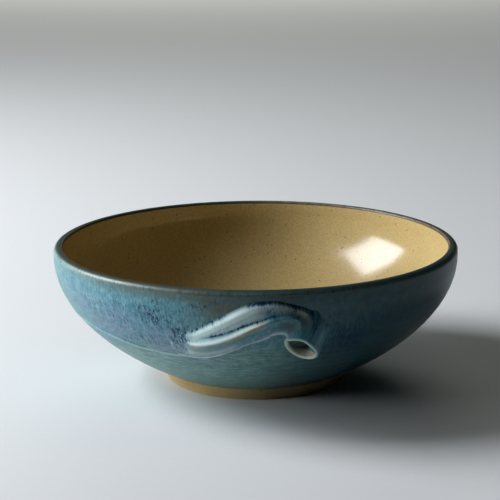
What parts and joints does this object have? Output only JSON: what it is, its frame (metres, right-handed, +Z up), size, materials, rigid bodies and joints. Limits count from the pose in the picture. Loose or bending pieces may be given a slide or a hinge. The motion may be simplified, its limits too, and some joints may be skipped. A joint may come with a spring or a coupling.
{
  "type": "bread proofing bowl",
  "caption": "Wide round thrown stoneware bowl on a trimmed foot ring, glazed inside and out, with pulled strap handles that end in an open curl.",
  "frame": {"origin": "on the bowl's axis at the height of the surface it stands on", "axes": "+Z up along the bowl's axis, -Y through the front handle, +X to its right"},
  "size_m": [0.3048, 0.3252, 0.104],
  "materials": {
    "bare_clay": "unglazed stoneware with fine grog, matt",
    "liner_glaze": "glossy buff glaze with fine brown speckle",
    "outer_glaze": "satin blue-green glaze, breaking pale on ridges and pooling dark blue",
    "lip_glaze": "thin satin glaze over iron brown, where the two glazes meet"
  },
  "bodies": {
    "root": {"clay_bowl": "bare_clay", "foot_ring": "bare_clay", "liner_glaze": "liner_glaze", "outer_glaze": "outer_glaze", "lip_glaze": "lip_glaze", "front_handle": "outer_glaze", "front_handle_tail": "outer_glaze", "back_handle": "outer_glaze", "back_handle_tail": "outer_glaze"}
  },
  "joints": []
}
